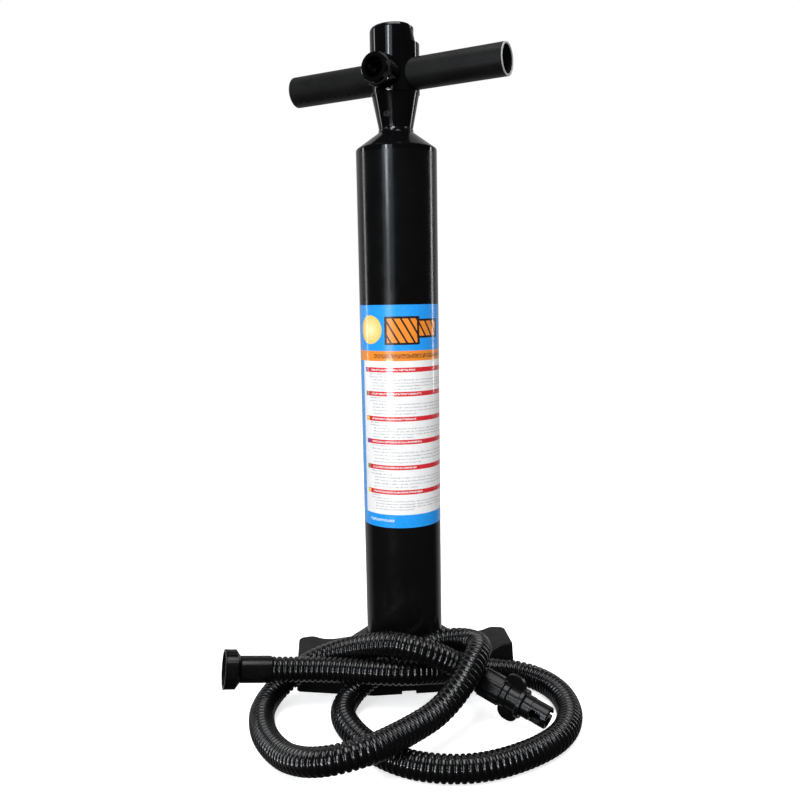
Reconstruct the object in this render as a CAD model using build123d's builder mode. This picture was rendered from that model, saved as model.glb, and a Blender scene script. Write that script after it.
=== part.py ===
from build123d import *
import math
import os

# Double action hand pump: a barrel on a two-winged foot base, a hollow piston rod with a T-handle,
# and a separate corrugated hose that lies in loose loops in front of the base.
# Millimetres, +Z up. The origin is on the pump's axis at the floor, +X runs along the base.

# ---- driving dimensions ----
barrel_radius = 37.5
barrel_bore = 35.3
barrel_low = 6.0
barrel_top = 512.0

rod_radius = 11.0
rod_bore = 9.0
rod_low = 34.0
rod_top = 596.0

base_half_length = 107.0
base_half_depth = 39.8
wing_end_half_depth = 21.0
wing_height = 38.0
dish_height = 31.0
base_draft = 2.4
base_wall = 3.6
socket_radius = 37.55
floor_ring_radius = 26.0

hub_radius = 22.5
hub_top = 623.0
boss_low = 534.8
boss_top = 564.2
handle_height = 581.0
handle_reach = 109.5
arm_radius = 14.0
arm_wall = 2.0
arm_root = 14.7
arm_angle = -33.4
port_angle = arm_angle - 90.0
port_reach = 40.0
port_bore = 9.0
port_floor = 14.0
air_hole_radius = 7.5

label_low = 165.7
label_high = 375.0
label_thickness = 0.12

hose_radius = 11.5
hose_bore = 9.3
cuff_length = 28.0
cuff_radius = 12.15
nut_end = 42.5
adapter_cuff_length = 24.5
wing_half_span = 22.5

air_way_width = 14.0
air_way_height = 3.0

# ---- the hose's route, from the nut's cuff to the adapter's cuff ----
hose_route = [
    (-130, -68.5, 46.5), (-105, -63.5, 42.8), (-70, -66, 41.5), (-39, -77, 42.5), (-10, -84, 43),
    (16, -75, 38.5), (47, -54, 28), (80, -41.5, 20.5), (108, -37, 14.5), (126, -48, 11.8),
    (137, -69, 11.5), (140, -96, 11.5), (135, -126, 11.5), (118, -155, 11.5), (88, -177, 11.5),
    (46, -193, 11.5), (9, -191, 11.5), (-22, -177, 11.5), (-48, -147, 11.5), (-63, -112, 11.5),
    (-66, -90, 11.5), (-61, -70, 12.5), (-48, -56.5, 21), (-26, -53, 34), (-5, -53.5, 44.5),
    (14, -50.5, 51.5), (31, -46.5, 55), (43.5, -48.5, 56.8), (54, -56, 58.8), (60.5, -67.5, 60.8),
    (61.5, -81, 63.3), (57.5, -99, 65.6), (49.5, -115, 63), (36, -133, 51.5), (14, -150, 37),
    (-13, -171, 34.5), (-40, -197, 37.5), (-62, -206, 36.5), (-82, -204.5, 32.5), (-100, -190, 25),
    (-117, -161, 14.5), (-134, -123, 11.5), (-139, -87, 11.5), (-136, -63, 11.5), (-128, -46.5, 15.5),
    (-114, -38.5, 24.5), (-91, -40.5, 40), (-62, -42, 50), (-28, -68, 65), (-12, -80.5, 68.6),
    (6, -87.5, 66), (22, -87, 59), (32.5, -84.5, 52.8), (42, -84.8, 46.8), (51, -88.8, 41.3),
    (60, -96, 38),
]


def profile(points, plane=Plane.XZ):
    """A closed outline, as a face on the plane."""
    with BuildSketch(plane) as outline:
        with BuildLine():
            Polyline(*points, close=True)
        make_face()
    return outline.sketch


def ring_outline(inner, outer, low, high):
    """The half section of a plain ring, in radius and height."""
    return [(inner, low), (outer, low), (outer, high), (inner, high)]


def around(axis_origin, axis_direction):
    """A plane through an axis whose x is the radius and whose y is the distance along it."""
    along = Vector(axis_direction).normalized()
    outward = along.cross(Vector(0, 0, 1)).normalized()
    return Plane(origin=axis_origin, x_dir=outward, z_dir=outward.cross(along))


def level_direction(angle):
    """The horizontal direction at an angle from +X."""
    return Vector(math.cos(math.radians(angle)), math.sin(math.radians(angle)), 0)


def side_plane(angle, distance, height):
    """An upright plane that faces outward at an angle, this far from the pump's axis."""
    direction = level_direction(angle)
    return Plane(origin=direction * distance + Vector(0, 0, height), z_dir=direction, x_dir=(0, 0, 1))


# ======================= foot base =======================
def wing_outline(grow):
    """The base's plan, wide in the middle and narrower at the wing ends."""
    half_waist = base_half_length - (base_half_depth - wing_end_half_depth) / 0.26
    end_x = base_half_length + grow
    end_y = wing_end_half_depth + 0.4 * grow
    waist_y = base_half_depth + 0.2 * grow
    return [
        (end_x, -end_y), (end_x, end_y), (half_waist, waist_y), (-half_waist, waist_y),
        (-end_x, end_y), (-end_x, -end_y), (-half_waist, -waist_y), (half_waist, -waist_y),
    ]


def wing_sketch(height, grow):
    with BuildSketch(Plane.XY.offset(height)) as plan:
        with BuildLine():
            Polyline(*wing_outline(grow), close=True)
        make_face()
        fillet(plan.vertices().group_by(Axis.X)[0] + plan.vertices().group_by(Axis.X)[-1], radius=6)
    return plan.sketch


cone_foot_radius = 62.0
cone_top = 50.0
pocket_top = 26.5
rib_positions = (-85.0, -64.0, 64.0, 85.0)
rib_thickness = 2.6
rim_fillet = 2.4
dish_flat = 62.0
dish_edge = 97.0
dish_points = [(dish_flat, dish_height), (75, 31.7), (86, 34.7), (dish_edge, wing_height)]
cut_height = 68.0
cut_reach = base_half_length + 11.0

base_screw_circle = 29.0
screw_radius = 1.5
screw_hole = 1.6
screw_head_radius = 2.9
screw_seat = 2.6

with BuildSketch(Plane.XZ) as dish:
    with BuildLine():
        Line((-dish_flat, dish_height), (dish_flat, dish_height))
        Spline(*dish_points, tangents=[(1, 0), (1, 0)])
        Polyline(
            (dish_edge, wing_height), (cut_reach, wing_height), (cut_reach, cut_height),
            (-cut_reach, cut_height), (-cut_reach, wing_height), (-dish_edge, wing_height),
        )
        Spline(*[(-x, z) for x, z in dish_points], tangents=[(-1, 0), (-1, 0)])
    make_face()

with BuildPart() as wing_prism:
    loft(sections=[wing_sketch(0, base_draft), wing_sketch(cone_top + 4, -base_draft / 2)])

with BuildPart() as barrel_cone:
    revolve(
        profile([
            (0, 20), (cone_foot_radius + 10, 20), (cone_foot_radius, dish_height + 0.5),
            (barrel_radius + 4, 47), (barrel_radius + 1.6, cone_top), (0, cone_top),
        ])
    )
    add(wing_prism.part, mode=Mode.INTERSECT)

with BuildPart() as base:
    loft(sections=[wing_sketch(0, base_draft), wing_sketch(wing_height, 0)])
    extrude(dish.sketch, amount=60, both=True, mode=Mode.SUBTRACT)
    top_faces = base.faces().filter_by(lambda f: f.normal_at().Z > 0.8)
    side_faces = base.faces().filter_by(lambda f: abs(f.normal_at().Z) < 0.5)
    side_edges = side_faces.edges()
    rim = [e for e in top_faces.edges() if any(e.is_same(other) for other in side_edges)]
    fillet(rim, radius=rim_fillet)
    add(barrel_cone.part)

    # the barrel's socket, the floor opening and the draft of the shell's underside
    with BuildSketch(Plane.XY.offset(barrel_low)):
        Circle(socket_radius)
    extrude(amount=80, mode=Mode.SUBTRACT)
    with BuildSketch(Plane.XY):
        Circle(floor_ring_radius)
    extrude(amount=barrel_low, mode=Mode.SUBTRACT)
    with BuildSketch(Plane.XY):
        with BuildLine():
            Polyline(*wing_outline(0), close=True)
        make_face()
        offset(amount=-base_wall, kind=Kind.INTERSECTION)
        Circle(socket_radius + base_wall, mode=Mode.SUBTRACT)
        Rectangle(2 * base_half_length, rib_thickness, mode=Mode.SUBTRACT)
        for rib_x in rib_positions:
            with Locations((rib_x, 0)):
                Rectangle(rib_thickness, 2 * base_half_depth, mode=Mode.SUBTRACT)
    extrude(amount=pocket_top, mode=Mode.SUBTRACT)
    # an air way across the floor, so that the lower inlet breathes with the base flat on the ground
    with Locations((0, 0, air_way_height / 2)):
        Box(air_way_width, 4 * base_half_depth, air_way_height, mode=Mode.SUBTRACT)
    with BuildSketch(Plane.XY):
        with PolarLocations(base_screw_circle, 4, start_angle=45):
            Circle(screw_head_radius + 0.2)
    extrude(amount=screw_seat, mode=Mode.SUBTRACT)
    with BuildSketch(Plane.XY):
        with PolarLocations(base_screw_circle, 4, start_angle=45):
            Circle(screw_hole)
    extrude(amount=barrel_low, mode=Mode.SUBTRACT)

with BuildPart() as base_screws:
    with BuildSketch(Plane.XY.offset(0.5)):
        with PolarLocations(base_screw_circle, 4, start_angle=45):
            Circle(screw_head_radius)
    extrude(amount=screw_seat - 0.5)
    with BuildSketch(Plane.XY.offset(screw_seat)):
        with PolarLocations(base_screw_circle, 4, start_angle=45):
            Circle(screw_radius)
    extrude(amount=11.0)

# ======================= barrel and label =======================
with BuildPart() as barrel:
    revolve(profile(ring_outline(barrel_bore, barrel_radius, barrel_low, barrel_top)))

with BuildPart() as label:
    revolve(profile(ring_outline(barrel_radius, barrel_radius + label_thickness, label_low, label_high)))

# ======================= bottom plug and lower inlet valve =======================
plug_radius = barrel_bore - 0.05
plug_top = 18.0
lower_flap_top = plug_top + 1.2

with BuildPart() as bottom_plug:
    revolve(
        profile([
            (2.2, barrel_low), (plug_radius, barrel_low), (plug_radius, 11), (33, 11), (33, 14),
            (plug_radius, 14), (plug_radius, plug_top), (2.2, plug_top),
        ])
    )
    with BuildSketch(Plane.XY.offset(barrel_low)):
        with PolarLocations(20, 8):
            Circle(3.5)
    extrude(amount=plug_top - barrel_low, mode=Mode.SUBTRACT)
    with BuildSketch(Plane.XY.offset(barrel_low)):
        with PolarLocations(base_screw_circle, 4, start_angle=45):
            Circle(screw_radius)
    extrude(amount=7.6, mode=Mode.SUBTRACT)

with BuildPart() as plug_o_ring:
    with BuildSketch(Plane.XZ):
        with Locations((34.15, 12.5)):
            Circle(1.1)
    revolve()

with BuildPart() as lower_inlet_flap:
    revolve(profile(ring_outline(2.2, 27, plug_top, lower_flap_top)))

with BuildPart() as lower_flap_screw:
    revolve(
        profile([
            (0, 8), (2.15, 8), (2.15, lower_flap_top), (6, lower_flap_top),
            (6, lower_flap_top + 1.5), (4.6, lower_flap_top + 2.5), (0, lower_flap_top + 2.5),
        ])
    )

# ======================= top cap and upper inlet valve =======================
cap_skirt_low = 496.0
cap_neck_radius = 16.2
cap_neck_top = 533.3
cap_screw_circle = 19.0
plate_low = 507.5
plate_high = 511.8
flap_low = 506.3
retainer_low = 504.8

with BuildPart() as top_cap:
    revolve(
        profile([
            (33, cap_skirt_low), (plug_radius, cap_skirt_low), (plug_radius, barrel_top),
            (barrel_radius, barrel_top), (barrel_radius, 515.2), (37.1, 516.4), (36.2, 517.2),
            (18.6, 529.7), (17.0, 530.9), (cap_neck_radius, 532), (cap_neck_radius, cap_neck_top),
            (11.5, cap_neck_top), (11.5, 531.3), (13.5, 531.3), (13.5, barrel_top), (16, barrel_top),
            (16, 527), (33, 515), (33, plate_high), (33, plate_low),
        ])
    )
    with BuildSketch(Plane.XY.offset(plate_high)):
        with PolarLocations(cap_screw_circle, 3, start_angle=90):
            Circle(3.6)
    extrude(amount=14)
    with BuildSketch(Plane.XY.offset(plate_high)):
        with PolarLocations(cap_screw_circle, 3, start_angle=90):
            Circle(screw_radius)
    extrude(amount=9, mode=Mode.SUBTRACT)
    # breathing holes in the rear half of the cone
    with BuildSketch(Plane.XY.offset(plate_high + 4)):
        with PolarLocations(27, 6, start_angle=10, angular_range=140, endpoint=True):
            Circle(2)
    extrude(amount=20, mode=Mode.SUBTRACT)

with BuildPart() as rod_seal:
    revolve(profile(ring_outline(rod_radius + 0.05, 13.45, barrel_top, 517)))

with BuildPart() as rod_bush:
    revolve(profile(ring_outline(rod_radius + 0.06, 13.45, 517, 531.2)))

with BuildPart() as inlet_plate:
    revolve(profile(ring_outline(11.6, 32.9, plate_low, plate_high)))
    with BuildSketch(Plane.XY.offset(plate_low)):
        with PolarLocations(28, 9, start_angle=10):
            Circle(2.8)
        with PolarLocations(cap_screw_circle, 3, start_angle=90):
            Circle(screw_hole)
    extrude(amount=plate_high - plate_low, mode=Mode.SUBTRACT)

with BuildPart() as upper_inlet_flap:
    revolve(profile(ring_outline(14, 31.8, flap_low, plate_low)))
    with BuildSketch(Plane.XY.offset(flap_low)):
        with PolarLocations(cap_screw_circle, 3, start_angle=90):
            Circle(screw_hole)
    extrude(amount=plate_low - flap_low, mode=Mode.SUBTRACT)

with BuildPart() as flap_retainer:
    revolve(profile(ring_outline(12, 25, retainer_low, flap_low)))
    with BuildSketch(Plane.XY.offset(retainer_low)):
        with PolarLocations(cap_screw_circle, 3, start_angle=90):
            Circle(screw_hole)
    extrude(amount=flap_low - retainer_low, mode=Mode.SUBTRACT)

with BuildPart() as cap_screws:
    with BuildSketch(Plane.XY.offset(retainer_low - 1.6)):
        with PolarLocations(cap_screw_circle, 3, start_angle=90):
            Circle(2.1)
    extrude(amount=1.6)
    with BuildSketch(Plane.XY.offset(retainer_low)):
        with PolarLocations(cap_screw_circle, 3, start_angle=90):
            Circle(screw_radius)
    extrude(amount=15)

with BuildPart() as bump_washer:
    revolve(profile(ring_outline(12, 16.5, retainer_low - 4, retainer_low)))

# ======================= piston =======================
piston_low = 24.0
disc_thickness = 4.0
flange_radius = 34.6
rim_inner = 29.5
rim_outer = 32.0
rim_joint = 37.0
upper_disc_low = 46.0
collar_inner = 13.08

with BuildPart() as piston_lower:
    lower_disc_top = piston_low + disc_thickness
    revolve(
        profile([
            (0, piston_low), (flange_radius, piston_low), (flange_radius, 33), (rim_outer, 33),
            (rim_outer, rim_joint), (rim_inner, rim_joint), (rim_inner, lower_disc_top),
            (16.5, lower_disc_top), (16.5, rod_low - 0.3), (13.5, rod_low - 0.3),
            (13.5, lower_disc_top), (0, lower_disc_top),
        ])
    )
    with BuildSketch(Plane.XY.offset(piston_low)):
        with PolarLocations(23, 8):
            Circle(3)
    extrude(amount=disc_thickness, mode=Mode.SUBTRACT)
    # slots in the standing ring let the air into the rod
    with BuildSketch(Plane.XY.offset(lower_disc_top)):
        with PolarLocations(15, 4):
            Rectangle(5, 9)
    extrude(amount=3.9, mode=Mode.SUBTRACT)

with BuildPart() as lower_outlet_flap:
    revolve(profile(ring_outline(17, 29, lower_disc_top, lower_disc_top + 1)))

with BuildPart() as piston_upper:
    revolve(
        profile([
            (collar_inner, 38.3), (18, 38.3), (18, upper_disc_low), (rim_inner, upper_disc_low),
            (rim_inner, rim_joint), (rim_outer, rim_joint), (rim_outer, 41), (flange_radius, 41),
            (flange_radius, 50), (18, 50), (18, 56), (collar_inner, 56),
        ])
    )
    with BuildSketch(Plane.XY.offset(upper_disc_low)):
        with PolarLocations(24, 8, start_angle=22.5):
            Circle(3)
    extrude(amount=disc_thickness, mode=Mode.SUBTRACT)

with BuildPart() as upper_outlet_flap:
    revolve(profile(ring_outline(18.1, 29, upper_disc_low - 1, upper_disc_low)))

with BuildPart() as piston_seal:
    revolve(
        profile([
            (rim_outer + 0.05, 33.3), (33.2, 33.3), (33.9, 35.2), (plug_radius, 33.6), (plug_radius, 40.4),
            (33.9, 38.8), (33.2, 40.7), (rim_outer + 0.05, 40.7),
        ])
    )

# ======================= piston rod and its foot =======================
foot_pin_height = 47.0
hub_screw_height = 546.0

with BuildPart() as piston_rod:
    revolve(profile(ring_outline(rod_bore, rod_radius, rod_low, rod_top)))
    with Locations(Location((0, 0, foot_pin_height), (0, 90, 0))):
        Cylinder(1.5, 2 * rod_radius + 2, mode=Mode.SUBTRACT)
    with BuildSketch(side_plane(port_angle, 0, handle_height)):
        Circle(air_hole_radius)
    extrude(amount=rod_radius + 2, mode=Mode.SUBTRACT)
    with BuildSketch(side_plane(port_angle, 0, hub_screw_height)):
        Circle(1.6)
    extrude(amount=rod_radius + 2, mode=Mode.SUBTRACT)

with BuildPart() as rod_foot:
    revolve(
        profile([
            (rod_radius + 0.02, rod_low), (16, rod_low), (16, 38), (13, 38), (13, 54),
            (rod_radius + 0.02, 54),
        ])
    )
    with Locations(Location((0, 0, foot_pin_height), (0, 90, 0))):
        Cylinder(1.5, 30, mode=Mode.SUBTRACT)

with BuildPart() as foot_pin:
    with Locations(Location((0, 0, foot_pin_height), (0, 90, 0))):
        Cylinder(1.48, 25.6)

# ======================= handle hub with the outlet port =======================
gauge_socket_radius = 17.5
gauge_floor = 600.0
hub_step_radius = 19.4
hub_step_low = 608.0
hub_step_start = -73.0
hub_step_span = 175.0
port_collar_radius = 14.9
port_collar_reach = 33.0
port_rim_radius = 12.8
port_seat_radius = 11.5
port_origin = Vector(0, 0, handle_height)
port_plane = around(port_origin, level_direction(port_angle))
port_axis = Axis(port_origin, level_direction(port_angle))

with BuildPart() as handle_hub:
    revolve(
        profile([
            (0, boss_low), (15.75, boss_low), (21.7, boss_top), (22.3, boss_top + 0.5),
            (hub_radius, boss_top + 1.2), (hub_radius, hub_top), (0, hub_top),
        ])
    )
    top_edge = handle_hub.edges().filter_by(GeomType.CIRCLE).sort_by(Axis.Z)[-1]
    fillet(top_edge, radius=4.2)
    # the wall steps in beside the gauge, over half of the turn
    with BuildSketch(Plane.XY.offset(hub_step_low)) as step_sector:
        Circle(hub_radius + 8)
        Circle(hub_step_radius, mode=Mode.SUBTRACT)
        with BuildLine():
            far_points = [
                level_direction(hub_step_start + hub_step_span * share) * (3 * hub_radius)
                for share in (0, 0.5, 1)
            ]
            Polyline((0, 0), *[(point.X, point.Y) for point in far_points], close=True)
        make_face(mode=Mode.INTERSECT)
    step_lean = level_direction(hub_step_start - 90) * 4.0 + Vector(0, 0, hub_top - hub_step_low + 1)
    extrude(amount=step_lean.length, dir=step_lean, mode=Mode.SUBTRACT)
    # the outlet port: a collar, the O-ring's seat and the rim
    revolve(
        profile([
            (0, 0), (port_collar_radius, 0), (port_collar_radius, port_collar_reach - 1.3),
            (port_collar_radius - 0.4, port_collar_reach - 0.4),
            (port_collar_radius - 1.3, port_collar_reach),
            (port_seat_radius, port_collar_reach), (port_seat_radius, port_collar_reach + 2.2),
            (port_rim_radius, port_collar_reach + 2.2), (port_rim_radius, port_reach - 0.9),
            (port_rim_radius - 0.3, port_reach - 0.3), (port_rim_radius - 0.9, port_reach),
            (0, port_reach),
        ], port_plane),
        axis=port_axis,
    )
    with BuildSketch(side_plane(port_angle, port_floor, handle_height)):
        Circle(port_bore)
    extrude(amount=port_reach - port_floor, mode=Mode.SUBTRACT)
    with BuildSketch(side_plane(port_angle, 0, handle_height)):
        Circle(air_hole_radius)
    extrude(amount=port_floor + 1, mode=Mode.SUBTRACT)
    # the rod's bore, the gauge's stem hole and socket
    with BuildSketch(Plane.XY.offset(boss_low)):
        Circle(rod_radius + 0.03)
    extrude(amount=rod_top + 0.2 - boss_low, mode=Mode.SUBTRACT)
    with BuildSketch(Plane.XY.offset(rod_top - 2)):
        Circle(3.05)
    extrude(amount=10, mode=Mode.SUBTRACT)
    with BuildSketch(Plane.XY.offset(gauge_floor)):
        Circle(gauge_socket_radius)
    extrude(amount=hub_top - gauge_floor + 1, mode=Mode.SUBTRACT)
    # sockets for the two arms
    for arm_side in (arm_angle, arm_angle + 180):
        with BuildSketch(side_plane(arm_side, arm_root - 0.1, handle_height)):
            Circle(arm_radius + 0.02)
        extrude(amount=30, mode=Mode.SUBTRACT)
    # the cross screw's seat
    with BuildSketch(side_plane(port_angle, 16.2, hub_screw_height)):
        Circle(3.2)
    extrude(amount=6, mode=Mode.SUBTRACT)
    with BuildSketch(side_plane(port_angle, 0, hub_screw_height)):
        Circle(1.62)
    extrude(amount=20, mode=Mode.SUBTRACT)

with BuildPart() as hub_screw:
    with BuildSketch(side_plane(port_angle, rod_bore, hub_screw_height)):
        Circle(1.58)
    extrude(amount=16.2 - rod_bore)
    with BuildSketch(side_plane(port_angle, 16.2, hub_screw_height)):
        Circle(3.0)
    extrude(amount=1.9)
    screw_face = hub_screw.faces().sort_by(Axis(origin=(0, 0, 0), direction=level_direction(port_angle)))[-1]
    fillet(screw_face.edges(), radius=0.7)
    with BuildSketch(side_plane(port_angle, 17.3, hub_screw_height)):
        Rectangle(3.2, 0.7)
        Rectangle(0.7, 3.2)
    extrude(amount=2, mode=Mode.SUBTRACT)

with BuildPart() as port_o_ring:
    with BuildSketch(port_plane):
        with Locations((port_seat_radius + 1.05, port_collar_reach + 1.1)):
            Circle(1.0)
    revolve(axis=port_axis)

# ======================= handle arms =======================
notch_count = 9
notch_pitch = 7.8
notch_start = 36.0
notch_dip = 53.0


def handle_arm(angle):
    """One grip tube from the hub outward, with a row of small notches low on one side."""
    with BuildPart() as arm:
        with BuildSketch(side_plane(angle, arm_root, handle_height)):
            Circle(arm_radius)
            Circle(arm_radius - arm_wall, mode=Mode.SUBTRACT)
        extrude(amount=handle_reach - arm_root)
        tip = arm.faces().sort_by(Axis(origin=(0, 0, 0), direction=level_direction(angle)))[-1]
        fillet(tip.edges(), radius=0.8)
        low_side = level_direction(angle + 90) * math.cos(math.radians(notch_dip))
        low_side += Vector(0, 0, -math.sin(math.radians(notch_dip)))
        for step in range(notch_count):
            centre = (
                level_direction(angle) * (notch_start + step * notch_pitch)
                + Vector(0, 0, handle_height)
                + low_side * (arm_radius - 0.45)
            )
            with BuildSketch(Plane(origin=centre, z_dir=low_side, x_dir=level_direction(angle))):
                SlotOverall(5.2, 2.0, rotation=35)
            extrude(amount=3, mode=Mode.SUBTRACT)
    return arm


handle_arm_left = handle_arm(arm_angle + 180)
handle_arm_right = handle_arm(arm_angle)

# ======================= pressure gauge =======================
stem_low = 598.0
dial_low = 608.0
dial_high = 608.4
lens_low = 615.2
lens_rim = 617.0

with BuildPart() as gauge_case:
    revolve(
        profile([
            (0, stem_low), (2.9, stem_low), (2.9, gauge_floor), (17.4, gauge_floor), (17.4, lens_rim),
            (16, lens_rim), (16, dial_low), (14.5, dial_low), (14.5, 603), (0, 603),
        ])
    )
    with BuildSketch(Plane.XY.offset(stem_low)):
        Circle(0.8)
    extrude(amount=3, mode=Mode.SUBTRACT)
    with BuildSketch(Plane.XY.offset(601.5)):
        Circle(0.56)
    extrude(amount=2, mode=Mode.SUBTRACT)

with BuildPart() as gauge_dial:
    revolve(profile(ring_outline(1.0, 15.9, dial_low, dial_high)))

with BuildPart() as gauge_needle:
    revolve(profile([(0, 602), (0.5, 602), (0.5, 609.2), (1.6, 609.2), (1.6, 611), (0, 611)]))
    with BuildSketch(Plane.XY.offset(609.6)):
        with BuildLine():
            Polyline((-0.9, 0.9), (-3.6, -4.0), (-9.2, -7.2), (-3.0, -4.6), (0.9, -0.9), close=True)
        make_face()
    extrude(amount=0.6)

with BuildPart() as gauge_lens:
    revolve(
        profile([(0, lens_low), (15.9, lens_low), (15.9, lens_rim), (13, 618.2), (7, 618.8), (0, 619)])
    )

with BuildPart() as gauge_bezel:
    revolve(
        profile([
            (15.95, lens_rim + 0.05), (17.4, lens_rim + 0.05), (17.4, 622.4), (16.8, 622.9),
            (15.4, 622.6), (14.4, 619.4), (15.95, 618.6),
        ])
    )

# ======================= hose =======================
def corner_radii(points):
    """At each corner, the largest tangent arc that its two runs allow."""
    radii = []
    for before, corner, after in zip(points, points[1:], points[2:]):
        run_in = Vector(*corner) - Vector(*before)
        run_out = Vector(*after) - Vector(*corner)
        half_turn = math.radians(run_in.get_angle(run_out)) / 2
        radii.append(0.45 * min(run_in.length, run_out.length) / math.tan(half_turn))
    return radii


hose_radii = corner_radii(hose_route)
print("hose radii", [round(r, 1) for r in hose_radii], "smallest", round(min(hose_radii), 1))

with BuildPart() as hose:
    with BuildLine() as hose_path:
        FilletPolyline(*hose_route, radius=hose_radii)
    with BuildSketch(Plane(origin=hose_path.line @ 0, z_dir=hose_path.line % 0)):
        Circle(hose_radius)
        Circle(hose_bore, mode=Mode.SUBTRACT)
    sweep(path=hose_path.line)
hose_length = hose_path.wires()[0].length
print("hose length", round(hose_length, 1), "volume ratio",
      round(hose.part.volume / (math.pi * (hose_radius**2 - hose_bore**2) * hose_length), 4))

# ---- the nut's end ----
nut_origin = Vector(*hose_route[0])
nut_direction = (nut_origin - Vector(*hose_route[1])).normalized()
nut_plane = around(nut_origin, nut_direction)
nut_axis = Axis(nut_origin, nut_direction)
print("nut direction", [round(v, 5) for v in nut_direction])

with BuildPart() as hose_cuff:
    revolve(
        profile([
            (8, 0), (12, 0), (cuff_radius, 0.8), (cuff_radius, cuff_length - 0.6), (11.7, cuff_length),
            (10.5, cuff_length), (10.5, 31.4), (13, 31.4), (13, 34), (8, 34),
        ], nut_plane),
        axis=nut_axis,
    )

with BuildPart() as nut_gasket:
    revolve(profile(ring_outline(8.6, 14.4, 34, 35.6), nut_plane), axis=nut_axis)

nut_back = cuff_length + 0.3
nut_floor = 31.1
nut_radius = 17.0
nut_rib_low = nut_back + 3.6
nut_rib_count = 20

with BuildPart() as hose_nut:
    revolve(
        profile([
            (10.56, nut_back), (12.6, nut_back), (nut_radius, nut_back + 3.2), (nut_radius, nut_end - 1.6),
            (17.9, nut_end - 1.0), (17.9, nut_end - 0.3), (17.6, nut_end), (15.9, nut_end),
            (15.3, nut_end - 0.8), (15.3, nut_floor), (10.56, nut_floor),
        ], nut_plane),
        axis=nut_axis,
    )
    with BuildSketch(Plane(origin=nut_origin + nut_direction * nut_rib_low, z_dir=nut_direction)):
        with PolarLocations(nut_radius, nut_rib_count):
            Rectangle(1.2, 3.0)
        Circle(nut_radius - 0.4, mode=Mode.SUBTRACT)
    extrude(amount=nut_end - 1.4 - nut_rib_low)

# ---- the adapter's end ----
adapter_origin = Vector(*hose_route[-1])
adapter_direction = (adapter_origin - Vector(*hose_route[-2])).normalized()
adapter_plane = around(adapter_origin, adapter_direction)
adapter_axis = Axis(adapter_origin, adapter_direction)
print("adapter origin and direction", hose_route[-1], [round(v, 5) for v in adapter_direction])

with BuildPart() as adapter_cuff:
    revolve(
        profile([
            (7, 0), (12, 0), (cuff_radius, 0.8), (cuff_radius, adapter_cuff_length - 1),
            (11.6, adapter_cuff_length), (10.0, adapter_cuff_length), (10.0, 12.5), (7, 12.5),
        ], adapter_plane),
        axis=adapter_axis,
    )
    # flat raised grips along the cuff
    grip_plane = Plane(
        origin=adapter_origin + adapter_direction * 2, x_dir=(0, 0, 1), z_dir=adapter_direction
    )
    with BuildSketch(grip_plane):
        with PolarLocations(cuff_radius - 0.5, 8, start_angle=22.5):
            Rectangle(2.2, 5.6)
        Circle(cuff_radius - 0.4, mode=Mode.SUBTRACT)
    extrude(amount=adapter_cuff_length - 4)

collar_start = adapter_cuff_length + 0.3
flange_start = 40.5
flange_end = 45.0
nose_radius = 10.4
nose_bore = 7.5
nose_end = 52.4
prong_radius = 10.0
prong_end = 69.0
pocket_start = 53.2
pocket_end = 64.0
pocket_height = 11.0
mouth_height = 3.4
wing_centre = 32.3
wing_length = 20.0
wing_thickness = 3.4

with BuildPart() as adapter_body:
    revolve(
        profile([
            (6, 13), (9.94, 13), (9.94, 15), (8.6, 15), (8.6, 17.4), (9.94, 17.4),
            (9.94, collar_start), (11.3, collar_start), (11.3, collar_start + 4.2),
            (10.2, collar_start + 5.6), (10.2, flange_start), (13.0, flange_start),
            (13.5, flange_start + 0.6), (13.5, flange_end - 0.9),
            (12.9, flange_end), (nose_radius, flange_end), (nose_radius, nose_end),
            (prong_radius, nose_end + 0.4), (prong_radius, prong_end - 0.9), (prong_radius - 0.9, prong_end),
            (nose_bore, prong_end), (nose_bore, flange_end + 1.5), (6, flange_end),
        ], adapter_plane),
        axis=adapter_axis,
    )
    # two finger wings in the upright plane through the axis
    wing_plane = Plane(
        origin=adapter_origin + adapter_direction * wing_centre,
        x_dir=adapter_direction,
        z_dir=adapter_direction.cross(Vector(0, 0, 1)),
    )
    with BuildSketch(wing_plane):
        RectangleRounded(wing_length, 2 * wing_half_span, 8.8)
        Rectangle(wing_length + 2, 2 * 9, mode=Mode.SUBTRACT)
        with Locations((collar_start - wing_centre - 6, 0)):
            Rectangle(12, 2 * cuff_radius + 2.8, mode=Mode.SUBTRACT)
    extrude(amount=wing_thickness / 2, both=True)
    # a keyhole slot across the nose leaves two prongs, hooked inward, for the valve's lugs
    with BuildSketch(wing_plane):
        with Locations(((pocket_start + pocket_end) / 2 - wing_centre, 0)):
            RectangleRounded(pocket_end - pocket_start, pocket_height, 2.4)
        with Locations((prong_end - wing_centre, 0)):
            Rectangle(2 * (prong_end - pocket_end) + 2, mouth_height)
    extrude(amount=2 * prong_radius, both=True, mode=Mode.SUBTRACT)

with BuildPart() as adapter_o_ring:
    ring_plane = around(adapter_origin + adapter_direction * 16.2, adapter_direction)
    with BuildSketch(ring_plane):
        with Locations((9.28, 0)):
            Circle(0.66)
    revolve(axis=adapter_axis)

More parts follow.
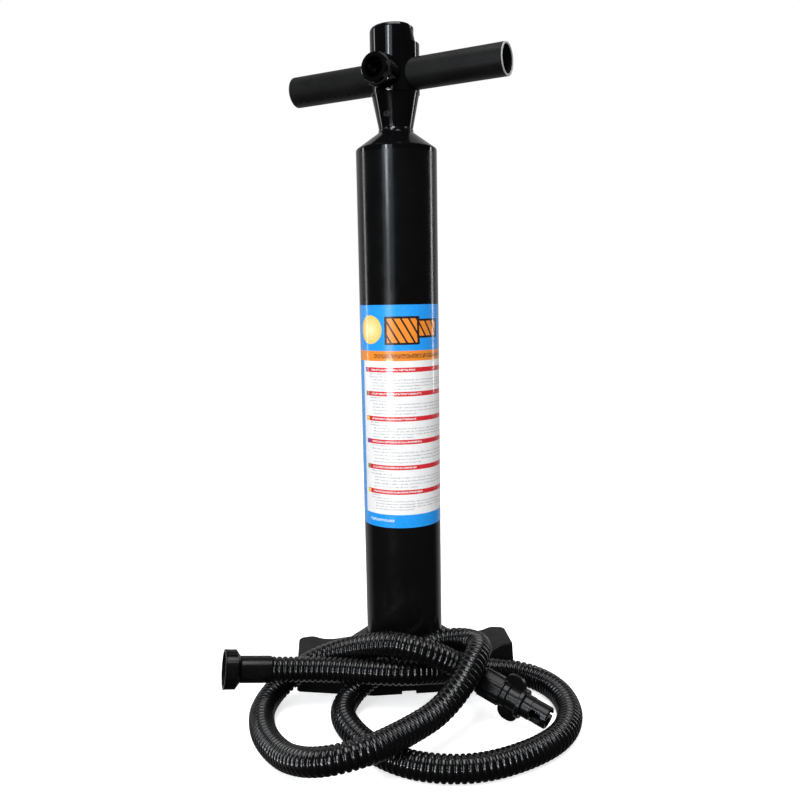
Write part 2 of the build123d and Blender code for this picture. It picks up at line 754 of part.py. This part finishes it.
# ======================= every piece as its own file =======================
pieces = {
    "base": base, "base_screws": base_screws, "barrel": barrel, "label": label,
    "bottom_plug": bottom_plug, "plug_o_ring": plug_o_ring, "lower_inlet_flap": lower_inlet_flap,
    "lower_flap_screw": lower_flap_screw, "top_cap": top_cap, "rod_seal": rod_seal, "rod_bush": rod_bush,
    "inlet_plate": inlet_plate, "upper_inlet_flap": upper_inlet_flap, "flap_retainer": flap_retainer,
    "cap_screws": cap_screws, "bump_washer": bump_washer, "piston_lower": piston_lower,
    "lower_outlet_flap": lower_outlet_flap, "piston_upper": piston_upper,
    "upper_outlet_flap": upper_outlet_flap, "piston_seal": piston_seal, "piston_rod": piston_rod,
    "rod_foot": rod_foot, "foot_pin": foot_pin, "handle_hub": handle_hub, "hub_screw": hub_screw,
    "port_o_ring": port_o_ring, "handle_arm_left": handle_arm_left, "handle_arm_right": handle_arm_right,
    "gauge_case": gauge_case, "gauge_dial": gauge_dial, "gauge_needle": gauge_needle,
    "gauge_lens": gauge_lens, "gauge_bezel": gauge_bezel, "hose": hose, "hose_cuff": hose_cuff,
    "nut_gasket": nut_gasket, "hose_nut": hose_nut, "adapter_cuff": adapter_cuff,
    "adapter_body": adapter_body, "adapter_o_ring": adapter_o_ring,
}
os.makedirs("parts", exist_ok=True)
for piece_name, piece in pieces.items():
    piece.part.label = piece_name
    export_step(piece.part, f"parts/{piece_name}.step")
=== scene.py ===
import math

import bpy
from mathutils import Matrix, Vector


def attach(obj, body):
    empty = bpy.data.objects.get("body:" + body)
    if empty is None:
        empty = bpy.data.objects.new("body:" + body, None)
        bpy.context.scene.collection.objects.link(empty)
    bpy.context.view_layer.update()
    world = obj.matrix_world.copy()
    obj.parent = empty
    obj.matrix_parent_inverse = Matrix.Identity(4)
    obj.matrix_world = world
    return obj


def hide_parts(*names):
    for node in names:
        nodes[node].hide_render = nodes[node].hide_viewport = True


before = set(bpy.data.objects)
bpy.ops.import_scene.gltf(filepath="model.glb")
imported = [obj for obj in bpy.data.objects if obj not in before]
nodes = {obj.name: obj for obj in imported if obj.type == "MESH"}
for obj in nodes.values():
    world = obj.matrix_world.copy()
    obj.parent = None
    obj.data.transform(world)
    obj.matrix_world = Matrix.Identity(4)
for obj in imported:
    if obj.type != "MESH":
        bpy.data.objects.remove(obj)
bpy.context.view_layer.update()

# Double action hand pump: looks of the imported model, with its corrugated hose and printed label.
# Metres, in the model's own frame.

MM = 0.001
scene = bpy.context.scene


# ======================= camera =======================
CAMERA_PLACE = Vector((-0.0696, -0.7839, 0.379))
CAMERA_HEADING = -5.0
CAMERA_PITCH = 8.67
CAMERA_ROLL = 1.0
FOCAL = 36.76


def make_camera():
    data = bpy.data.cameras.new("camera")
    data.sensor_width = 36
    data.lens = FOCAL
    data.shift_y = 0.031
    camera = bpy.data.objects.new("camera", data)
    scene.collection.objects.link(camera)
    turn = Matrix.Rotation(math.radians(CAMERA_HEADING), 4, "Z")
    tilt = Matrix.Rotation(math.radians(90 - CAMERA_PITCH), 4, "X")
    roll = Matrix.Rotation(math.radians(-CAMERA_ROLL), 4, "Z")
    camera.matrix_world = Matrix.Translation(CAMERA_PLACE) @ turn @ tilt @ roll
    scene.camera = camera


make_camera()

# ======================= hose =======================
HOSE_RADIUS = 11.5 * MM
HOSE_ROUTE = [
    (-0.130, -0.0685, 0.0465), (-0.105, -0.0635, 0.0428), (-0.070, -0.066, 0.0415), (-0.039, -0.077, 0.0425),
    (-0.010, -0.084, 0.043), (0.016, -0.075, 0.0385), (0.047, -0.054, 0.028), (0.080, -0.0415, 0.0205),
    (0.108, -0.037, 0.0145), (0.126, -0.048, 0.0118), (0.137, -0.069, 0.0115), (0.140, -0.096, 0.0115),
    (0.135, -0.126, 0.0115), (0.118, -0.155, 0.0115), (0.088, -0.177, 0.0115), (0.046, -0.193, 0.0115),
    (0.009, -0.191, 0.0115), (-0.022, -0.177, 0.0115), (-0.048, -0.147, 0.0115), (-0.063, -0.112, 0.0115),
    (-0.066, -0.090, 0.0115), (-0.061, -0.070, 0.0125), (-0.048, -0.0565, 0.021), (-0.026, -0.053, 0.034),
    (-0.005, -0.0535, 0.0445), (0.014, -0.0505, 0.0515), (0.031, -0.0465, 0.055), (0.0435, -0.0485, 0.0568),
    (0.054, -0.056, 0.0588), (0.0605, -0.0675, 0.0608), (0.0615, -0.081, 0.0633), (0.0575, -0.099, 0.0656),
    (0.0495, -0.115, 0.063), (0.036, -0.133, 0.0515), (0.014, -0.150, 0.037), (-0.013, -0.171, 0.0345),
    (-0.040, -0.197, 0.0375), (-0.062, -0.206, 0.0365), (-0.082, -0.2045, 0.0325), (-0.100, -0.190, 0.025),
    (-0.117, -0.161, 0.0145), (-0.134, -0.123, 0.0115), (-0.139, -0.087, 0.0115), (-0.136, -0.063, 0.0115),
    (-0.128, -0.0465, 0.0155), (-0.114, -0.0385, 0.0245), (-0.091, -0.0405, 0.040), (-0.062, -0.042, 0.050),
    (-0.028, -0.068, 0.065), (-0.012, -0.0805, 0.0686), (0.006, -0.0875, 0.066), (0.022, -0.087, 0.059),
    (0.0325, -0.0845, 0.0528), (0.042, -0.0848, 0.0468), (0.051, -0.0888, 0.0413), (0.060, -0.096, 0.038),
]
CORRUGATION_PITCH = 5.2 * MM
CORRUGATION_DEPTH = 1.7 * MM
VALLEY_SHARE = 0.27
RINGS_PER_PITCH = 9
HOSE_SIDES = 28
LINE_RESOLUTION = 16
CREST_DROP = 0.12
WALL_POWER = 1.3


def nurbs_line(points):
    """Points along the smooth curve that has these control points."""
    curve = bpy.data.curves.new("line", "CURVE")
    curve.dimensions = "3D"
    spline = curve.splines.new("NURBS")
    spline.points.add(len(points) - 1)
    for point, place in zip(spline.points, points):
        point.co = (*place, 1)
    spline.order_u = 3
    spline.use_endpoint_u = True
    spline.resolution_u = LINE_RESOLUTION
    holder = bpy.data.objects.new("line", curve)
    scene.collection.objects.link(holder)
    mesh = bpy.data.meshes.new_from_object(holder)
    line = [v.co.copy() for v in mesh.vertices]
    bpy.data.objects.remove(holder)
    bpy.data.curves.remove(curve)
    bpy.data.meshes.remove(mesh)
    return line


def evenly(line, step):
    """The same line with its points an even step apart."""
    reach = [0.0]
    for a, b in zip(line, line[1:]):
        reach.append(reach[-1] + (b - a).length)
    count = round(reach[-1] / step)
    points, place = [], 0
    for k in range(count + 1):
        target = reach[-1] * k / count
        while place < len(line) - 2 and reach[place + 1] < target:
            place += 1
        span = max(reach[place + 1] - reach[place], 1e-9)
        points.append(line[place].lerp(line[place + 1], (target - reach[place]) / span))
    return points, reach[-1]


def carried_frames(points):
    """A tangent, a side and an up at each point, carried along without twist."""
    tangents = [(b - a).normalized() for a, b in zip(points, points[1:])]
    tangents.append(tangents[-1])
    side = tangents[0].cross(Vector((0, 0, 1))).normalized()
    frames = []
    for tangent in tangents:
        side = (side - tangent * side.dot(tangent)).normalized()
        frames.append((tangent, side, tangent.cross(side)))
    return frames


def ridge(phase):
    """Height of a corrugation from 0 in the valley to 1 on the crest."""
    gap = abs(phase - math.floor(phase) - 0.5)
    reach = (0.5 - gap) / VALLEY_SHARE
    if reach >= 1:
        return 1.0 - CREST_DROP * ((reach - 1) / (0.5 / VALLEY_SHARE - 1) - 1) ** 2
    return (1.0 - CREST_DROP) * math.sin(reach * math.pi / 2) ** WALL_POWER


def smooth_object(name, mesh):
    piece = bpy.data.objects.new(name, mesh)
    scene.collection.objects.link(piece)
    mesh.shade_smooth()
    return piece


def corrugated_tube(name, centre):
    """A tube of plain rings, crest and valley in turn, closed at both ends."""
    points, length = evenly(centre, CORRUGATION_PITCH / RINGS_PER_PITCH)
    frames = carried_frames(points)
    step = length / (len(points) - 1)
    vertices, faces = [], []
    for k, (point, (tangent, side, up)) in enumerate(zip(points, frames)):
        radius = HOSE_RADIUS - CORRUGATION_DEPTH * (1 - ridge(k * step / CORRUGATION_PITCH))
        for j in range(HOSE_SIDES):
            angle = 2 * math.pi * j / HOSE_SIDES
            vertices.append(point + (side * math.cos(angle) + up * math.sin(angle)) * radius)
    for k in range(len(points) - 1):
        for j in range(HOSE_SIDES):
            a = k * HOSE_SIDES + j
            b = k * HOSE_SIDES + (j + 1) % HOSE_SIDES
            faces.append((a, b, b + HOSE_SIDES, a + HOSE_SIDES))
    faces.append(tuple(reversed(range(HOSE_SIDES))))
    last = (len(points) - 1) * HOSE_SIDES
    faces.append(tuple(range(last, last + HOSE_SIDES)))
    mesh = bpy.data.meshes.new(name)
    mesh.from_pydata(vertices, [], faces)
    mesh.update()
    return smooth_object(name, mesh)


hose_line = nurbs_line(HOSE_ROUTE)
hose = corrugated_tube("corrugated_hose", hose_line)
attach(hose, "root")
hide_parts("hose")


# ======================= materials =======================
class Graph:
    """A material's node tree, with short ways to add nodes and wires."""

    def __init__(self, name):
        self.material = bpy.data.materials.new(name)
        self.material.use_nodes = True
        self.tree = self.material.node_tree
        self.shader = self.tree.nodes["Principled BSDF"]
        self.place = self.node("ShaderNodeTexCoord").outputs["Object"]

    def node(self, kind, **settings):
        made = self.tree.nodes.new(kind)
        for key, value in settings.items():
            setattr(made, key, value)
        return made

    def put(self, socket, value):
        if isinstance(value, bpy.types.NodeSocket):
            self.tree.links.new(value, socket)
        else:
            socket.default_value = value

    def math(self, operation, a, b=0.0):
        made = self.node("ShaderNodeMath", operation=operation)
        for socket, value in zip(made.inputs, (a, b)):
            self.put(socket, value)
        return made.outputs[0]

    def noise(self, scale, detail=3.0, roughness=0.5, vector=None):
        made = self.node("ShaderNodeTexNoise")
        self.put(made.inputs["Vector"], vector or self.place)
        made.inputs["Scale"].default_value = scale
        made.inputs["Detail"].default_value = detail
        made.inputs["Roughness"].default_value = roughness
        return made.outputs["Fac"]

    def spread(self, value, low, high, to_low, to_high):
        """Maps a value from one range to another, held at its ends."""
        made = self.node("ShaderNodeMapRange")
        for socket, given in zip(made.inputs, (value, low, high, to_low, to_high)):
            self.put(socket, given)
        return made.outputs[0]

    def mix(self, share, first, second):
        made = self.node("ShaderNodeMix", data_type="RGBA")
        self.put(made.inputs["Factor"], share)
        self.put(made.inputs[6], first)
        self.put(made.inputs[7], second)
        return made.outputs[2]

    def bump(self, height, distance):
        made = self.node("ShaderNodeBump")
        made.inputs["Strength"].default_value = 1.0
        made.inputs["Distance"].default_value = distance
        self.put(made.inputs["Height"], height)
        self.put(self.shader.inputs["Normal"], made.outputs["Normal"])

    def set(self, **sockets):
        for key, value in sockets.items():
            self.put(self.shader.inputs[key.replace("_", " ")], value)


def shade(colour, factor):
    return (*[min(1.0, c * factor) for c in colour], 1.0)


def moulded(name, colour, roughness, grain=900.0, depth=0.02 * MM, swing=0.08, contrast=0.25,
            specular=0.5):
    """Moulded plastic or rubber: a fine grain, faint cloudy colour and an uneven gloss."""
    graph = Graph(name)
    clouds = graph.noise(22.0, 4.0, 0.6)
    colour_share = graph.spread(clouds, 0.3, 0.7, 0.0, 1.0)
    graph.set(Base_Color=graph.mix(colour_share, shade(colour, 1 - contrast), shade(colour, 1 + contrast)))
    smudge = graph.noise(60.0, 5.0, 0.65)
    graph.set(Roughness=graph.spread(smudge, 0.3, 0.7, roughness - swing, roughness + swing))
    graph.bump(graph.noise(grain, 2.0, 0.5), depth)
    graph.set(Specular_IOR_Level=specular)
    return graph.material


def arm_material():
    """Grained black grip tube, with a painted highlight: its open end face is painted a paler grey."""
    graph = Graph("arm_black_grain")
    split = graph.node("ShaderNodeSeparateXYZ")
    graph.put(split.inputs[0], graph.place)
    turn = math.radians(ARM_TURN)
    along = graph.math("ADD", graph.math("MULTIPLY", split.outputs[0], math.cos(turn)),
                       graph.math("MULTIPLY", split.outputs[1], math.sin(turn)))
    reach = graph.math("ABSOLUTE", along)
    cut = graph.spread(reach, ARM_CUT_START, ARM_CUT_FULL, 0.0, 1.0)
    grain = graph.mix(graph.spread(graph.noise(24.0, 4.0, 0.6), 0.3, 0.7, 0.0, 1.0),
                      (0.0042, 0.0042, 0.0042, 1), (0.009, 0.009, 0.0088, 1))
    # painted highlight: a pale grey ring on the open end face, where a bright rim of light shows
    end_highlight = graph.mix(graph.noise(300.0), (0.30, 0.30, 0.29, 1), (0.50, 0.50, 0.48, 1))
    graph.set(Base_Color=graph.mix(cut, grain, end_highlight), Specular_IOR_Level=0.25)
    graph.set(Roughness=graph.spread(graph.noise(60.0, 5.0, 0.65), 0.3, 0.7, 0.36, 0.5))
    graph.bump(graph.noise(1600.0, 2.0, 0.5), 0.03 * MM)
    return graph.material


def metal(name, colour, roughness, stretch=(1, 1, 40), scale=90.0):
    """Drawn or turned metal with fine lines round or along it."""
    graph = Graph(name)
    mapping = graph.node("ShaderNodeMapping")
    graph.put(mapping.inputs["Vector"], graph.place)
    mapping.inputs["Scale"].default_value = stretch
    lines = graph.noise(scale, 4.0, 0.6, mapping.outputs["Vector"])
    graph.set(
        Base_Color=graph.mix(lines, shade(colour, 0.82), shade(colour, 1.12)),
        Roughness=graph.spread(lines, 0.3, 0.7, roughness - 0.08, roughness + 0.1),
        Metallic=1.0,
    )
    graph.bump(lines, 0.01 * MM)
    return graph.material


ARM_TURN = -33.4
# where the painted highlight on the arm's open end begins, and where it reaches full strength
ARM_CUT_START = 108.5 * MM
ARM_CUT_FULL = 109.1 * MM
MATTE_BLACK = moulded("matte_black_grain", (0.0042, 0.0042, 0.0044), 0.46, 1400.0, 0.03 * MM, specular=0.25)
ARM_BLACK = arm_material()
SATIN_BLACK = moulded("satin_black_tube", (0.003, 0.003, 0.0033), 0.18, 300.0, 0.004 * MM, 0.04)
GLOSS_BLACK = moulded("gloss_black", (0.0022, 0.0022, 0.0025), 0.09, 200.0, 0.003 * MM, 0.03)
FITTING_BLACK = moulded(
    "fitting_black", (0.0026, 0.0026, 0.0028), 0.26, 700.0, 0.01 * MM, 0.06, specular=0.4,
)
HOSE_BLACK = moulded(
    "hose_soft_black", (0.0018, 0.0018, 0.0019), 0.2, 400.0, 0.002 * MM, 0.03, specular=0.75,
)
NATURAL_ACETAL = moulded("natural_acetal", (0.72, 0.72, 0.69), 0.4, 500.0, 0.01 * MM, 0.06, 0.05)
RUBBER = moulded("seal_rubber", (0.012, 0.012, 0.012), 0.62, 1200.0, 0.02 * MM, 0.08)
ALUMINIUM = metal("drawn_aluminium", (0.70, 0.71, 0.73), 0.28)
STEEL = metal("zinc_steel", (0.55, 0.56, 0.58), 0.32, (1, 1, 1), 260.0)
DARK_STEEL = metal("blackened_steel", (0.09, 0.09, 0.095), 0.35, (1, 1, 1), 260.0)
NEEDLE_RED = moulded("needle_red", (0.5, 0.02, 0.015), 0.3, 400.0, 0.004 * MM, 0.05, 0.1)


def paint(material, *names):
    for name in names:
        slots = nodes[name].data.materials
        slots.clear()
        slots.append(material)


paint(MATTE_BLACK, "base")
paint(ARM_BLACK, "handle_arm_left", "handle_arm_right")
paint(SATIN_BLACK, "barrel")
paint(GLOSS_BLACK, "handle_hub", "top_cap", "gauge_bezel")
paint(FITTING_BLACK, "hose_nut", "hose_cuff", "adapter_cuff", "adapter_body")
paint(NATURAL_ACETAL, "bottom_plug", "inlet_plate", "piston_lower", "piston_upper", "rod_bush", "gauge_case")
paint(
    RUBBER, "plug_o_ring", "lower_inlet_flap", "rod_seal", "upper_inlet_flap", "bump_washer",
    "lower_outlet_flap", "upper_outlet_flap", "piston_seal", "port_o_ring", "nut_gasket", "adapter_o_ring",
)
paint(ALUMINIUM, "piston_rod", "rod_foot")
paint(STEEL, "base_screws", "lower_flap_screw", "flap_retainer", "cap_screws", "foot_pin")
paint(DARK_STEEL, "hub_screw")
paint(NEEDLE_RED, "gauge_needle")
hose.data.materials.append(HOSE_BLACK)

# ======================= label print =======================
FRONT = -95.1
BLUE = (0.010, 0.29, 0.80, 1)
ORANGE = (0.80, 0.24, 0.02, 1)
DARK = (0.02, 0.015, 0.015, 1)
WHITE = (0.80, 0.80, 0.80, 1)
RED = (0.62, 0.02, 0.03, 1)
GREY = (0.30, 0.30, 0.31, 1)
GOLD = (0.85, 0.52, 0.10, 1)
PALE_GOLD = (0.95, 0.80, 0.45, 1)
BAR_TOPS = (0.3177, 0.2954, 0.2720, 0.2503, 0.2260, 0.2024)
BAR_HEIGHT = 0.0044
SECTIONS_END = 0.181
LINES_PER_SECTION = 6
LINE_ENDS = (-22, -8, 96, 80, 88, 30)
SQUARE_INKS = ((0.05, 0.08, 0.40, 1), (0.05, 0.30, 0.12, 1), (0.75, 0.60, 0.05, 1))
LABEL_RADIUS = 37.6 * MM
SEAL_RADIUS = 13.2 * MM
DASH_ALONG = 0.55
DASH_UP = 900.0


def label_material():
    """The printed wrap: azimuth in degrees from its front line, and height, choose the ink."""
    graph = Graph("label_print")
    split = graph.node("ShaderNodeSeparateXYZ")
    graph.put(split.inputs[0], graph.place)
    x, y, z = split.outputs
    turned_x = graph.math("ADD", graph.math("MULTIPLY", x, math.cos(math.radians(-FRONT))),
                          graph.math("MULTIPLY", y, -math.sin(math.radians(-FRONT))))
    turned_y = graph.math("ADD", graph.math("MULTIPLY", x, math.sin(math.radians(-FRONT))),
                          graph.math("MULTIPLY", y, math.cos(math.radians(-FRONT))))
    azimuth = graph.math("MULTIPLY", graph.math("ARCTAN2", turned_y, turned_x), 180 / math.pi)

    def edge(value, limit, soft):
        """0 below the limit and 1 above it."""
        return graph.spread(value, limit - soft, limit + soft, 0.0, 1.0)

    def band(value, low, high, soft):
        return graph.math("MULTIPLY", edge(value, low, soft),
                          graph.math("SUBTRACT", 1.0, edge(value, high, soft)))

    def level(low, high):
        return band(z, low, high, 0.06 * MM)

    def between(low, high):
        return band(azimuth, low, high, 0.12)

    def both(a, b):
        return graph.math("MULTIPLY", a, b)

    def disc(centre_azimuth, centre_z, radius):
        across = graph.math("MULTIPLY", graph.math("SUBTRACT", azimuth, centre_azimuth),
                            math.radians(1) * LABEL_RADIUS)
        along = graph.math("SUBTRACT", z, centre_z)
        away = graph.math("SQRT", graph.math("ADD", graph.math("MULTIPLY", across, across),
                                             graph.math("MULTIPLY", along, along)))
        return graph.math("SUBTRACT", 1.0, edge(away, radius, 0.08 * MM)), away

    ink = WHITE
    ink = graph.mix(level(0.333, 0.400), ink, BLUE)
    ink = graph.mix(level(0.160, 0.1784), ink, BLUE)
    ink = graph.mix(both(level(0.1784, 0.3237), graph.math("SUBTRACT", 1.0, between(-64, 100))), ink, BLUE)
    ink = graph.mix(level(0.3237, 0.333), ink, ORANGE)
    # six sections: a red bar with a small coloured square, and rows of grey dashes under it
    dashes = graph.noise(1.0, 2.0, 0.6, vector=dash_vector(graph, azimuth, z))
    for k, top in enumerate(BAR_TOPS):
        ink = graph.mix(both(level(top - BAR_HEIGHT, top), between(-58, 92)), ink, RED)
        square = both(level(top - BAR_HEIGHT + 0.4 * MM, top - 0.4 * MM), between(-57, -52))
        ink = graph.mix(square, ink, SQUARE_INKS[k % len(SQUARE_INKS)])
        heading = both(level(top - 3.0 * MM, top - 1.4 * MM), between(-46, 22 + 9 * (k % 2)))
        ink = graph.mix(both(heading, graph.spread(dashes, 0.44, 0.5, 0.0, 0.85)), ink, WHITE)
        section_end = (BAR_TOPS + (SECTIONS_END,))[k + 1]
        pitch = (top - BAR_HEIGHT - section_end - 1.2 * MM) / LINES_PER_SECTION
        for row in range(LINES_PER_SECTION):
            line_top = top - BAR_HEIGHT - 0.9 * MM - row * pitch
            ends = LINE_ENDS[row] - 6 * (k % 3)
            line = both(level(line_top - 1.15 * MM, line_top), between(-50 if row < 2 else -44, ends))
            ink = graph.mix(both(line, graph.spread(dashes, 0.46, 0.52, 0.0, 0.8)), ink, GREY)
    # a plain gold seal, and two hatched blocks with dark borders
    seal, away = disc(-46, 0.3525, SEAL_RADIUS)
    glow = graph.spread(away, 0.0, SEAL_RADIUS, 0.0, 1.0)
    ink = graph.mix(seal, ink, graph.mix(glow, PALE_GOLD, GOLD))
    for low_az, high_az, low_z, high_z in ((-18, 26, 0.3405, 0.3625), (29, 62, 0.3465, 0.3600)):
        ink = graph.mix(both(between(low_az - 3.5, high_az + 3.5), level(low_z - 2 * MM, high_z + 2 * MM)),
                        ink, DARK)
        stripes = graph.math("SINE", graph.math("MULTIPLY", graph.math(
            "ADD", azimuth, graph.math("MULTIPLY", z, DASH_UP)), DASH_ALONG))
        ink = graph.mix(both(both(between(low_az, high_az), level(low_z, high_z)),
                             graph.spread(stripes, -0.75, -0.6, 0.0, 1.0)), ink, ORANGE)
    top_line = both(between(-40, 86), level(0.3262, 0.3302))
    ink = graph.mix(both(top_line, graph.spread(dashes, 0.46, 0.5, 0.0, 0.75)), ink, DARK)
    foot_line = both(between(-55, -12), level(0.1715, 0.1738))
    ink = graph.mix(both(foot_line, graph.spread(dashes, 0.44, 0.5, 0.0, 0.7)), ink, WHITE)
    graph.set(Base_Color=ink, Coat_Weight=0.6, Coat_Roughness=0.05)
    graph.set(Roughness=graph.spread(graph.noise(80.0, 4.0, 0.6), 0.3, 0.7, 0.22, 0.34))
    graph.bump(graph.noise(120.0, 3.0, 0.5), 0.01 * MM)
    return graph.material


def dash_vector(graph, azimuth, z):
    """Coordinates in which noise breaks a printed line into word-like dashes."""
    joined = graph.node("ShaderNodeCombineXYZ")
    graph.put(joined.inputs[0], graph.math("MULTIPLY", azimuth, DASH_ALONG))
    graph.put(joined.inputs[1], graph.math("MULTIPLY", z, DASH_UP))
    return joined.outputs[0]


paint(label_material(), "label")


def dial_material():
    """A plain dial: a ring of ticks all the way round."""
    graph = Graph("dial_print")
    split = graph.node("ShaderNodeSeparateXYZ")
    graph.put(split.inputs[0], graph.place)
    x, y = split.outputs[:2]
    square = graph.math("ADD", graph.math("MULTIPLY", x, x), graph.math("MULTIPLY", y, y))
    radius = graph.math("SQRT", square)
    angle = graph.math("ARCTAN2", y, x)
    ticks = graph.math("ABSOLUTE", graph.math("SINE", graph.math("MULTIPLY", angle, 20.0)))
    tick = graph.spread(ticks, 0.16, 0.2, 1.0, 0.0)
    ring = graph.math("MULTIPLY", graph.spread(radius, 11.6 * MM, 11.8 * MM, 0.0, 1.0),
                      graph.spread(radius, 14.0 * MM, 14.2 * MM, 1.0, 0.0))
    paper = graph.mix(graph.noise(90.0), (0.82, 0.82, 0.79, 1), (0.88, 0.88, 0.86, 1))
    graph.set(Base_Color=graph.mix(graph.math("MULTIPLY", tick, ring), paper, (0.02, 0.02, 0.02, 1)))
    graph.set(Roughness=graph.spread(graph.noise(50.0), 0.3, 0.7, 0.4, 0.55))
    return graph.material


def lens_material():
    graph = Graph("clear_lens")
    graph.set(Base_Color=(0.97, 0.99, 0.99, 1), Transmission_Weight=1.0, IOR=1.46)
    graph.set(Roughness=graph.spread(graph.noise(40.0), 0.4, 0.8, 0.01, 0.06))
    return graph.material


paint(dial_material(), "gauge_dial")
paint(lens_material(), "gauge_lens")

# ======================= smooth shading of the CAD pieces =======================
CRISP_ANGLE = math.radians(32)

for node in nodes.values():
    node.data.shade_smooth()
    sharp = node.modifiers.new("crisp", "EDGE_SPLIT")
    sharp.split_angle = CRISP_ANGLE


# ======================= stage and lights =======================
FLOOR_RADIUS = 12.0
FLOOR_GLOW = 0.68
# reflected sky: between the first two heights of Y it rises from the third value to the fourth
WORLD_REFLECTION = (0.3, 0.8, 0.02, 0.42)
WORLD_FILL = 0.45
PALE_BLUE = (0.84, 0.92, 1.0)


def make_floor():
    """A plain pale floor, evenly bright, that keeps only soft shadows and stays out of the reflections."""
    bpy.ops.mesh.primitive_circle_add(vertices=96, radius=FLOOR_RADIUS, fill_type="NGON", location=(0, 0, 0))
    floor = bpy.context.object
    floor.name = "floor"
    floor.visible_glossy = False
    floor.visible_diffuse = False
    graph = Graph("floor_white")
    paper = graph.mix(graph.noise(3.0), (0.78, 0.78, 0.78, 1), (0.82, 0.82, 0.82, 1))
    graph.set(Base_Color=paper, Roughness=0.8, Specular_IOR_Level=0.1)
    graph.set(Emission_Color=(1, 1, 1, 1), Emission_Strength=FLOOR_GLOW)
    floor.data.materials.append(graph.material)


def around_pump(turn, distance, height):
    """A place seen this many degrees to the right of the camera's side of the pump."""
    angle = math.radians(FRONT + turn)
    return Vector((math.cos(angle) * distance, math.sin(angle) * distance, height))


def panel(name, turn, distance, height, width, tall, power, target=0.3, tint=(1, 1, 1), mirrored=True):
    """A flat light that faces the pump; one that isn't mirrored only lights it and leaves no reflection."""
    data = bpy.data.lights.new(name, "AREA")
    data.shape = "RECTANGLE"
    data.size, data.size_y = width, tall
    data.energy = power
    data.color = tint
    light = bpy.data.objects.new(name, data)
    scene.collection.objects.link(light)
    light.visible_glossy = mirrored
    light.location = around_pump(turn, distance, height)
    towards = Vector((0, 0, target)) - light.location
    light.rotation_euler = towards.to_track_quat("-Z", "Y").to_euler()


def make_world():
    """White to the camera, an even fill, and dim in reflections: a little brighter behind the pump."""
    world = bpy.data.worlds.new("studio")
    scene.world = world
    world.use_nodes = True
    tree = world.node_tree
    tree.nodes.clear()
    output = tree.nodes.new("ShaderNodeOutputWorld")
    path = tree.nodes.new("ShaderNodeLightPath")
    place = tree.nodes.new("ShaderNodeTexCoord")
    split = tree.nodes.new("ShaderNodeSeparateXYZ")
    behind = tree.nodes.new("ShaderNodeMapRange")
    tree.links.new(place.outputs["Generated"], split.inputs[0])
    tree.links.new(split.outputs["Y"], behind.inputs["Value"])
    for socket, value in zip(behind.inputs[1:5], WORLD_REFLECTION):
        socket.default_value = value

    def background(strength):
        made = tree.nodes.new("ShaderNodeBackground")
        made.inputs["Color"].default_value = (1, 1, 1, 1)
        if isinstance(strength, float):
            made.inputs["Strength"].default_value = strength
        else:
            tree.links.new(strength, made.inputs["Strength"])
        return made.outputs[0]

    def choose(ray, otherwise, chosen):
        mixed = tree.nodes.new("ShaderNodeMixShader")
        tree.links.new(path.outputs[ray], mixed.inputs[0])
        tree.links.new(otherwise, mixed.inputs[1])
        tree.links.new(chosen, mixed.inputs[2])
        return mixed.outputs[0]

    filled = choose("Is Glossy Ray", background(WORLD_FILL), background(behind.outputs[0]))
    tree.links.new(choose("Is Camera Ray", filled, background(1.0)), output.inputs["Surface"])


make_floor()
make_world()
panel("strip_left", -107, 1.3, 0.62, 0.11, 1.0, 1.8)
panel("strip_right", 113, 1.3, 0.62, 0.11, 1.0, 2.4)
panel("window", -26, 1.9, 1.25, 1.0, 0.9, 4.6, target=0.45, tint=PALE_BLUE)
panel("window_low", -26, 1.9, 0.58, 1.0, 0.5, 1.0, target=0.45, tint=PALE_BLUE)
panel("window_edge", -28, 1.9, 1.15, 0.15, 1.0, 8, target=0.45, tint=PALE_BLUE)
panel("window_edge_low", -28, 1.9, 0.5, 0.15, 0.3, 0.4, target=0.45, tint=PALE_BLUE)
panel("window_foot", -30, 1.5, 0.16, 0.5, 0.12, 4.5, target=0.05)
panel("front_high", -18, 1.5, 2.5, 1.0, 1.0, 46, mirrored=False)
panel("front_low", 14, 2.2, 0.25, 1.5, 0.35, 7, mirrored=False)
panel("top", 10, 0.4, 2.4, 1.4, 1.4, 24)
scene.view_settings.view_transform = "Standard"
